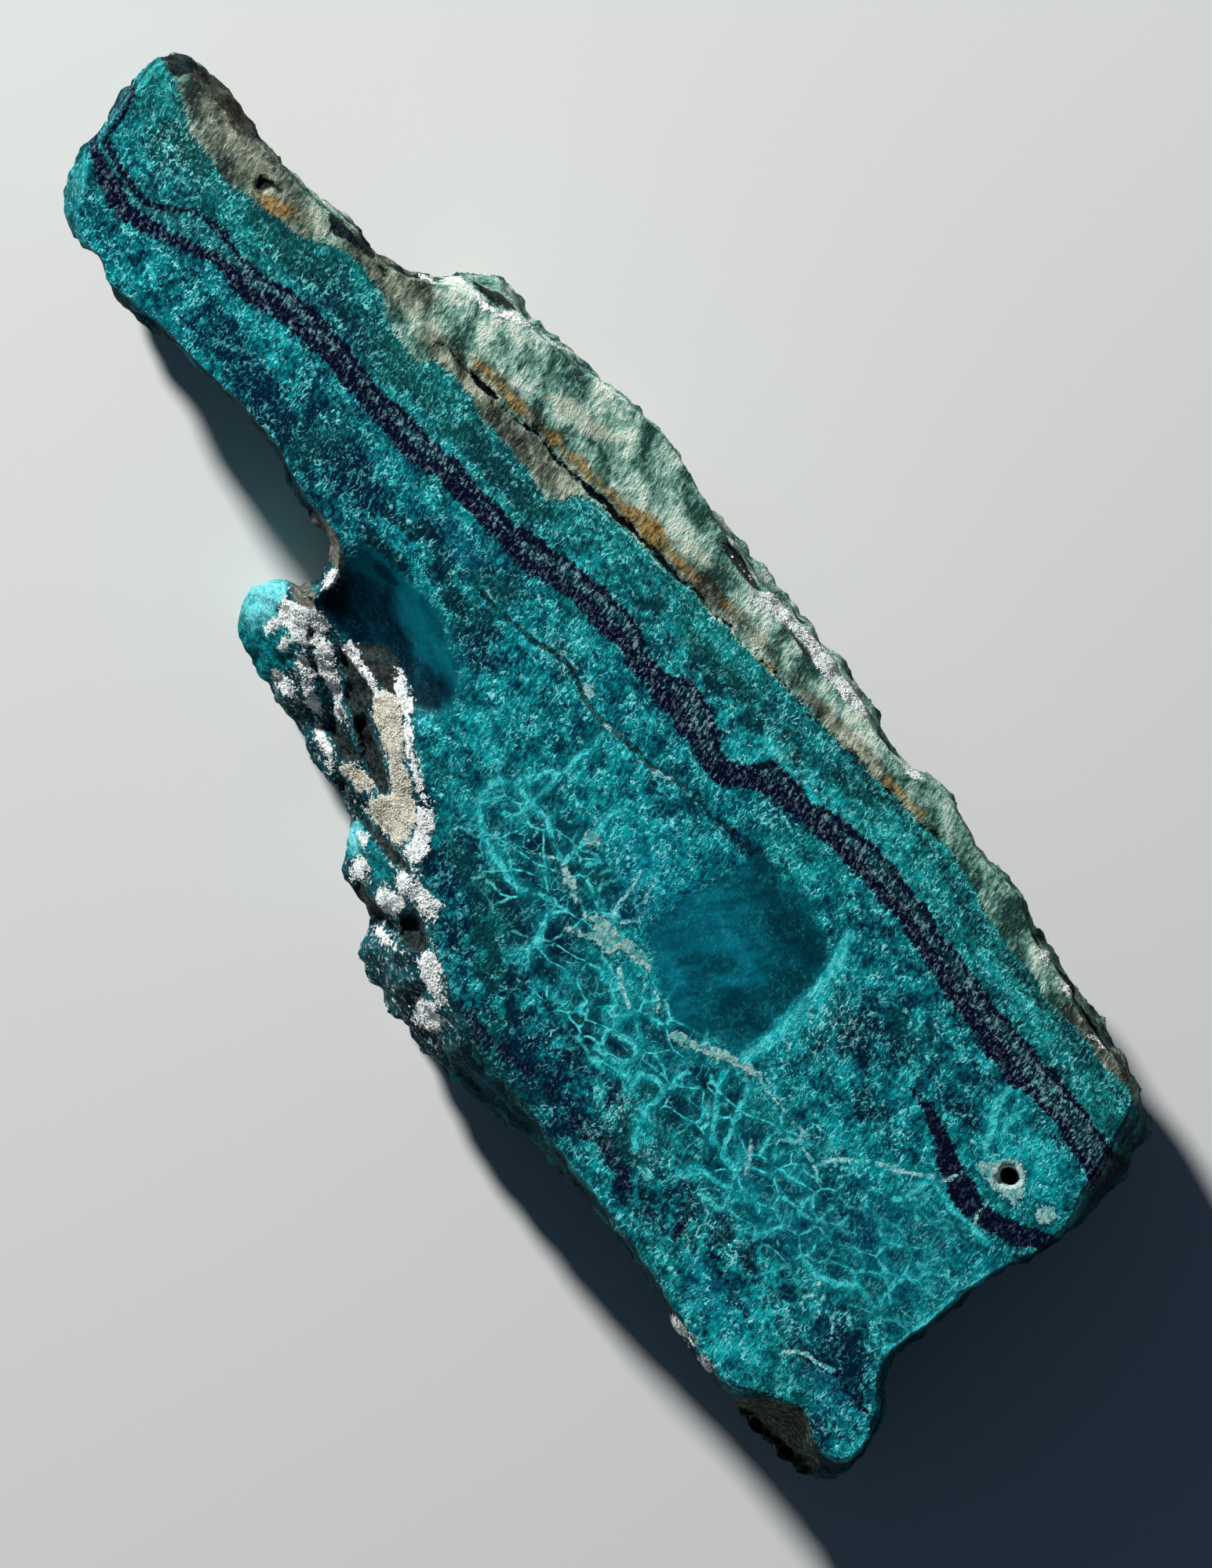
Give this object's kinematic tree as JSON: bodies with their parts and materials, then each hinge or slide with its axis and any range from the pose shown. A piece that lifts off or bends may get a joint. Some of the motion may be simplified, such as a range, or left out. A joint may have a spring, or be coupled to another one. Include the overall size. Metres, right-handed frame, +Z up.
{
  "type": "chrysocolla specimen",
  "caption": "Long slab of chrysocolla with a flat ground teal top, dark banding, pale matrix and a quartz-lined hollow, resting on a sawn base.",
  "frame": {"origin": "middle of the flat sawn base, under the centre of the stone's box", "axes": "+X along the slab towards its broad end, +Y across it towards the pale matrix side, +Z up through its thickness"},
  "size_m": [0.1156, 0.0432, 0.02],
  "materials": {
    "chrysocolla": "flat ground face with a fine fibrous grain, deep teal with navy bands; broken sides rough and dull",
    "quartz_druse": "white to cream sugary quartz crystals, glinting"
  },
  "bodies": {
    "root": {"chrysocolla_slab": "chrysocolla"}
  },
  "joints": []
}
